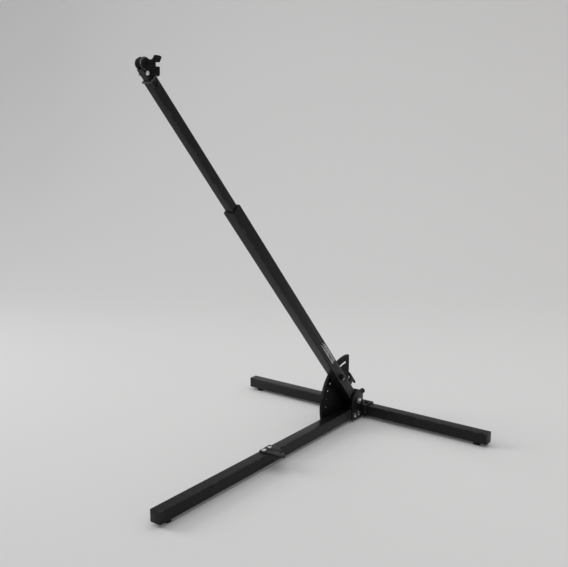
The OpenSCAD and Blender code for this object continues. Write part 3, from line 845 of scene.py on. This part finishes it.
bm = bmesh.new()
rows = 6
gap = (lab_high.y - lab_low.y) / (rows + 0.4)
for row in range(rows):
    tall = 0.62 if row in (0, 4) else 0.38
    dashes(bm, lab_low.y + gap * (row + 0.7), gap * tall, lab_low.z + 5, lab_high.z - 5 - 12 * (row % 3),
           row, 0.92)
piece("label_print", bm, "lower_mast", PRINT, "label", [], MAST, rub=False)

# %% [markdown]
# Both pins, their knobs and their sleeves are turned pieces along X. A block guards the lock pin's
# knob. The index pin, its knob and its barrel are near the lower mast's top, on the other side.

# %% Lock pin, its guard and the stop pad
def round_bar(name, node, radius, body, material, slot, bore=0.0, edge=0.6):
    """A round piece along X, in the mast's frame. Its place and length come from its CAD node."""
    bm = bmesh.new()
    for low, high in map(in_mm, solids(node, MAST)):
        centre = (low + high) / 2
        half = (high.x - low.x) / 2
        lathe(bm, disc(radius, -half, half, bore, edge), facing(centre, across))
    return piece(name, bm, body, material, slot, [node], MAST, rub=False)


round_bar("lock_sleeve", "lock_pin_sleeve", 9.0, "lower_mast", COAT, "black_powder_coat", 6.05)
round_bar("pivot_tube", "pivot_sleeve", 11.0, "lower_mast", ZINC, "zinc", 8.05)
round_bar("thrust_rings", "thrust_washers", 20.0, "lower_mast", NYLON, "pale_plastic", 8.05, 0.4)
round_bar("lock_pin_bar", "lock_pin", 6.0, "lock_pin", ZINC, "zinc", 0.0, 1.2)
round_bar("index_pin_bar", "index_pin", 4.0, "index_pin", ZINC, "zinc", 0.0, 0.8)

# How far a knob's underside stays off what it closes on, in mm
KNOB_GAP = 0.2


def knob(name, node, body, sign):
    """A turned plastic knob with a rounded rim and a dished face."""
    low, high = in_mm(solid(node, MAST))
    radius = (high.z - low.z) / 2
    length = high.x - low.x
    base = Vector((low.x if sign > 0 else high.x, (low.y + high.y) / 2, (low.z + high.z) / 2))
    bm = bmesh.new()
    shares = [(0.78, 0.25), (0.97, 0.38), (1.0, 0.5), (1.0, 0.8), (0.93, 0.93), (0.8, 1.0),
              (0.62, 1.0), (0.52, 0.86), (0.0, 0.8)]
    profile = [(0.0, KNOB_GAP), (radius * 0.72, KNOB_GAP)]
    profile += [(radius * wide, length * tall) for wide, tall in shares]
    lathe(bm, profile, facing(base, across * sign), 40)
    return piece(name, bm, body, PLASTIC, "black_plastic", [node], MAST, rub=False)


knob("lock_knob", "lock_pin_knob", "lock_pin", 1)
knob("index_knob_detail", "index_knob", "index_pin", -1)
guard_low, guard_high = in_mm(solid("lock_pin_guard", MAST))
bm = bmesh.new()
plate(bm, box_outline((guard_low.y, guard_low.z), (guard_high.y, guard_high.z), 3.0), [],
      guard_low.x, guard_high.x, 1.6, "yzx")
piece("pin_guard", bm, "lower_mast", PLASTIC, "black_plastic", ["lock_pin_guard"], MAST)
bm = bmesh.new()
pan_screws(bm, solids("guard_screws", MAST), 0, 1, 2.0, 3.6, 2.0)
piece("guard_screw_heads", bm, "lower_mast", DARK_STEEL, "dark_washer", ["guard_screws"], MAST, rub=False)
pad_low, pad_high = in_mm(solid("stop_pad", MAST))
bm = bmesh.new()
pad_outline = box_outline((pad_low.x, pad_low.z), (pad_high.x, pad_high.z), 3.0)
plate(bm, pad_outline, [], pad_low.y, pad_high.y, 1.5, "xzy")
piece("stop_pad_detail", bm, "lower_mast", RUBBER, "rubber", ["stop_pad"], MAST)
bm = bmesh.new()
pan_screws(bm, solids("bush_screws", MAST), 1, 1, 2.0, 3.6, 2.0)
piece("bush_screw_heads", bm, "lower_mast", DARK_STEEL, "dark_washer", ["bush_screws"], MAST, rub=False)
bm = bmesh.new()
wall_x = -tube_w / 2
place = facing((0, *index_place), across)
lathe(bm, disc(8.0, barrel_low.x, wall_x, 4.05, 0.8), place)
lathe(bm, disc(6.0, wall_x, barrel_high.x, 4.05, 0.3), place)
piece("index_barrel_detail", bm, "lower_mast", ZINC, "zinc", ["index_barrel"], MAST, rub=False)

# %% [markdown]
# The cleat has one bar whose horns taper to both tips, on a post that flares at its foot and top.
# Both change section along their length, so each is lofted through a row of rings.

# %% Rope cleat
FOOT_HALF = 31.0
FOOT_T = 5.0
STATIONS = 28
RING = 16
# Height off the mast, half width and half length of each ring of the post, in mm
POST_RINGS = [(4.5, 7.6, 19.5), (7.5, 6.6, 16.6), (18.0, 6.2, 14.5), (30.0, 6.2, 14.5),
              (37.0, 6.4, 16.5), (42.0, 6.6, 19.0)]


def loft(bm, rings):
    """Joins closed rings of vertices, one to the next, and caps both ends."""
    for first, second in zip(rings, rings[1:]):
        for k in range(len(first)):
            after = (k + 1) % len(first)
            bm.faces.new((first[k], first[after], second[after], second[k]))
    bm.faces.new(rings[0][::-1])
    bm.faces.new(rings[-1])


def horn_ring(bm, share):
    """A ring of the horns, with share from -1 at the lower tip to 1 at the upper one."""
    swell = max(0.0, 1 - abs(share) ** 3.2) ** 0.5
    reach_y = 0.6 + 6.6 * swell
    reach_x = 0.6 + 6.2 * swell
    centre_y = cleat_high.y - 7.6 - 1.4 * (1 - share ** 2) + 1.2 * share ** 4
    height = cleat_mid.z + share * (horn_half - 0.2)
    angles = [math.tau * k / RING for k in range(RING)]
    return [bm.verts.new((reach_x * math.cos(angle), centre_y + reach_y * math.sin(angle), height))
            for angle in angles]


def post_ring(bm, height, half_x, half_z):
    outline = box_outline((-half_x, -half_z), (half_x, half_z), 5.0)
    return [bm.verts.new((x, cleat_low.y + height, cleat_mid.z + z)) for x, z in outline]


cleat_low, cleat_high = in_mm(solid("rope_cleat", MAST))
cleat_mid = (cleat_low + cleat_high) / 2
horn_half = (cleat_high.z - cleat_low.z) / 2
bm = bmesh.new()
foot = box_outline((cleat_low.x, cleat_mid.z - FOOT_HALF), (cleat_high.x, cleat_mid.z + FOOT_HALF), 6.0)
plate(bm, foot, [], cleat_low.y, cleat_low.y + FOOT_T, 1.0, "xzy")
loft(bm, [horn_ring(bm, -1 + 2 * i / STATIONS) for i in range(STATIONS + 1)])
loft(bm, [post_ring(bm, *section) for section in POST_RINGS])
piece("cleat", bm, "lower_mast", COAT, "black_powder_coat", ["rope_cleat"], MAST, smooth=50, rub=False)
bm = bmesh.new()
pan_screws(bm, solids("cleat_screws", MAST), 1, 1, 3.0, 4.8, 3.0)
piece("cleat_screw_heads", bm, "lower_mast", DARK_STEEL, "dark_washer", ["cleat_screws"], MAST, rub=False)

# %% [markdown]
# ## Upper mast
# The upper tube has a row of index holes in one of its walls. One boolean cuts them all, because the
# tube is otherwise plain.

# %% Tube with index holes
bm = bmesh.new()
tube(bm, upper_w, upper_low.z / MM, upper_high.z / MM, "xyz")
upper_tube = piece("upper_mast_tube", bm, "upper_mast", COAT, "black_powder_coat", ["upper_mast"], MAST)
index = solid("index_pin", MAST)
index_at = (index[0].z + index[1].z) / 2 / MM
slide_down, slide_up = (v / MM for v in joints["upper_slide"]["range_m"])
INDEX_PITCH = 50
places = int(round((slide_up - slide_down) / INDEX_PITCH)) + 1
heights = [index_at - slide_down - i * INDEX_PITCH for i in range(places)]
drill(upper_tube, [(0, height) for height in heights], 4.3, -upper_w / 2 - 2, -upper_w / 2 + 6)
print(f"{places} index holes, {len(upper_tube.data.polygons)} faces")

# %% [markdown]
# The collar is a square ring round the neck. The head plates share a round lobe at the sheave, and
# the near one also has a hook, a notch and a heel. Their corners are given from the axle's centre.

# %% Collar and head plates
collar_low, collar_high = in_mm(solid("top_collar", MAST))
neck_low, neck_high = in_mm(solid("neck_block", MAST))
neck_w = neck_high.y - neck_low.y
bm = bmesh.new()
plate(bm, square_outline(collar_high.x - collar_low.x, 3.0), [square_outline(neck_w + 0.2, 0.5)],
      collar_low.z, collar_high.z, 1.0)
piece("collar", bm, "upper_mast", GREY_PLASTIC, "black_plastic", ["top_collar"], MAST)

axle = solid("sheave_axle", MAST)
axle_mid = (axle[0] + axle[1]) / 2 / MM
sheave_at = (axle_mid.y, axle_mid.z)
LOBE_R = 17.5


def from_axle(points):
    """Outline corners given as (back, up, radius) from the sheave's centre."""
    return [(sheave_at[0] + y, sheave_at[1] + z, radius) for y, z, radius in points]


def head_plate(name, node, corners, lobe_start, lobe_end):
    low, high = in_mm(solid(node, MAST))
    lobe = [(y, z, 0) for y, z in arc(sheave_at, LOBE_R, lobe_start, lobe_end, 40)]
    bm = bmesh.new()
    plate(bm, rounded(lobe + from_axle(corners)), [], low.x, high.x, 0.6, "yzx")
    # Both head plates take the darker copy of the black coat, whose darker colour is painted shade.
    return piece(name, bm, "upper_mast", COAT_PAINTED_SHADE, "black_powder_coat", [node], MAST)


near = [(-5, -24, 2), (-10, -42, 2), (-4, -47, 1), (11.5, -49, 1), (11.5, -61, 1), (20, -62, 2), (38, -43, 3),
        (25, -31, 1.5), (33, -22, 2), (47, -33, 1.5), (56, -30, 1.5), (66, -26, 1.5), (59, -15, 2),
        (47, -4, 3), (35, -7, 4), (23, -5, 6)]
far = [(-5, -24, 2), (-4, -49, 1), (11.5, -49, 1), (20, -31, 3), (23, -5, 6)]
head_plate("head_plate_hooked", "head_plate_near", near, 55, 225)
head_plate("head_plate_plain", "head_plate_far", far, 55, 225)

# %% [markdown]
# The sheave is one turned wheel with a tapered groove, on a bronze bush. Half of its profile is
# written out, and the other half is its mirror image.

# %% Sheave and axle
flange_low, flange_high = in_mm(solid("sheave_flanges", MAST))
core_low, core_high = in_mm(solid("sheave_core", MAST))
rim = (flange_high.z - flange_low.z) / 2
groove = (core_high.z - core_low.z) / 2
half = flange_high.x
floor_half = 3.0
profile = [(9.0, -half), (rim - 1.6, -half), (rim - 0.5, -half + 0.5), (rim, -half + 1.4),
           (rim - 0.4, -half + 2.2), (rim - 1.6, -core_high.x - 0.6),
           (groove + 1.6, -floor_half - 0.6), (groove + 0.4, -floor_half + 1), (groove, 0.0)]
profile += [(r, -x) for r, x in profile[-2::-1]] + [(9.0, -half)]
bm = bmesh.new()
lathe(bm, profile, facing((0, *sheave_at), across), 72)
piece("sheave_wheel", bm, "sheave", GLOSS_PLASTIC, "black_plastic", ["sheave_core", "sheave_flanges"], MAST,
      smooth=50, rub=False)
round_bar("sheave_bush", "sheave_bearing", 9.0, "sheave", BRONZE, "bronze", 6.05, 0.3)
round_bar("axle_bar", "sheave_axle", 6.0, "upper_mast", DARK_STEEL, "dark_washer", 0.0, 1.0)
round_bar("axle_clip", "axle_clips", 9.5, "upper_mast", DARK_STEEL, "dark_washer", 6.0, 0.3)
bm = bmesh.new()
for low, high in map(in_mm, solids("sheave_spacers", MAST)):
    middle = (low + high) / 2
    width = (high.x - low.x) / 2
    lathe(bm, disc((high.z - low.z) / 2, -width, width, 6.05, 0.6), facing(middle, across), 64)
piece("spacer_discs", bm, "upper_mast", DULL_STEEL, "zinc", ["sheave_spacers"], MAST, rub=False)

# %% [markdown]
# The lower of the two neck bolts is blackened and the upper one is bright, so each is a piece of
# its own, although they are one node in CAD.

# %% Neck fasteners
by_height = sorted(solids("neck_bolts", MAST), key=lambda box: box[0].z)
finishes = ((DARK_STEEL, "dark_washer"), (ZINC, "zinc"))
for name, box, finish in zip(("tube_bolt", "head_bolt"), by_height, finishes):
    bm = bmesh.new()
    bolts(bm, [box], 0, 1, 12)
    piece(name, bm, "upper_mast", *finish, ["neck_bolts"], MAST, rub=False)
bm = bmesh.new()
nuts(bm, solids("neck_nuts", MAST), 0)
piece("neck_nuts_detail", bm, "upper_mast", DULL_STEEL, "zinc", ["neck_nuts"], MAST, rub=False)

# %% [markdown]
# ## Nodes carried over from CAD
# Inner pieces and plain blocks need no more shape than CAD gives them, so they only get a finish.

# %% Finish the carried-over nodes
FINISH = {"zinc": ZINC, "black_powder_coat": COAT, "black_plastic": PLASTIC, "rubber": RUBBER,
          "pale_plastic": NYLON, "bronze": BRONZE, "dark_washer": DARK_STEEL, "label": FILM}
kept = [name for name, node in frame["nodes"].items() if not node.hide_render]
for name in kept:
    mesh = frame["nodes"][name].data
    mesh.materials.clear()
    mesh.materials.append(FINISH[slot_of[name]])
print("kept from CAD:", ", ".join(sorted(kept)))

# %% [markdown]
# ## Studio
# The backdrop is a pale seamless sweep whose colour is painted light: darker on its left and lighter on its right.
# One large soft light hangs overhead and another stands on the left, because large lights give the tubes long,
# soft reflections.

# %% Sweep and lights
def sweep(width, front, rear, height, bend):
    """A floor that curves up into a wall."""
    profile = [(front, 0.0)]
    profile += [(rear - bend + bend * math.sin(a), bend - bend * math.cos(a))
                for a in (math.radians(9 * i) for i in range(11))]
    profile.append((rear, height))
    bm = bmesh.new()
    rows = [[bm.verts.new((x, y, z)) for x in (-width / 2, width / 2)] for y, z in profile]
    for first, second in zip(rows, rows[1:]):
        bm.faces.new((first[0], first[1], second[1], second[0]))
    mesh = bpy.data.meshes.new("sweep")
    bm.to_mesh(mesh)
    bm.free()
    mesh.shade_smooth()
    made = bpy.data.objects.new("sweep", mesh)
    made.rotation_euler.z = math.radians(36.6)
    bpy.context.collection.objects.link(made)
    return made


paper = Shader("studio_paper")
# Painted light: the paper runs from darker grey at the left end of the sweep to lighter grey at its right end,
# standing in for the light falling off across the backdrop.
painted_light_ramp = paper.node("SeparateXYZ", Vector=paper.coords).over(-2.5, 3.0)
paper.set("Base Color", paper.mix(painted_light_ramp, grey(0.57), grey(0.82, (1.0, 0.99, 0.985))))
paper.bsdf.inputs["Roughness"].default_value = 0.9
backdrop = sweep(30.0, -9.0, 6.0, 9.0, 3.0)
backdrop.data.materials.append(paper.material)


def area_light(name, place, target, size, power):
    data = bpy.data.lights.new(name, "AREA")
    data.shape = "RECTANGLE"
    data.size, data.size_y = size
    data.energy = power
    light = bpy.data.objects.new(name, data)
    light.location = place
    light.rotation_euler = (Vector(target) - Vector(place)).to_track_quat("-Z", "Y").to_euler()
    bpy.context.collection.objects.link(light)
    print(f"{name} light, {power} W")


area_light("overhead", (0.0, 0.5, 4.5), (0, 0.3, 0), (6.0, 6.0), 80)
area_light("left", (-4.5, -2.0, 2.6), (0.8, 2.5, 1.4), (3.0, 3.0), 150)
world = bpy.data.worlds.new("studio")
bpy.context.scene.world = world
world.use_nodes = True
world.node_tree.nodes["Background"].inputs["Color"].default_value = grey(1.0)
world.node_tree.nodes["Background"].inputs["Strength"].default_value = 0.50
bpy.context.scene.view_settings.view_transform = "Standard"

# %% [markdown]
# The camera stands in front and to the right. Its place over the floor is measured from the middle of
# the crossbar, and its height of 1.39 m from the floor.

# %% Camera
FOCAL = 50.24
EYE = Vector((1.8869, -3.1556, 1.3922))
LOOK_DOWN = 11.46
LOOK_LEFT = 36.59
bar_centre = (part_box("crossbar")[0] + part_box("crossbar")[1]) / 2
camera_data = bpy.data.cameras.new("camera")
camera_data.sensor_width = 36.0
camera_data.lens = FOCAL
camera = bpy.data.objects.new("camera", camera_data)
camera.location = EYE + Vector((0.0, bar_centre.y, 0.0))
camera.rotation_euler = (math.radians(90 - LOOK_DOWN), 0.0, math.radians(LOOK_LEFT))
bpy.context.collection.objects.link(camera)
bpy.context.scene.camera = camera
print(f"camera {(camera.location - bar_centre).length:.2f} m from the middle of the crossbar")
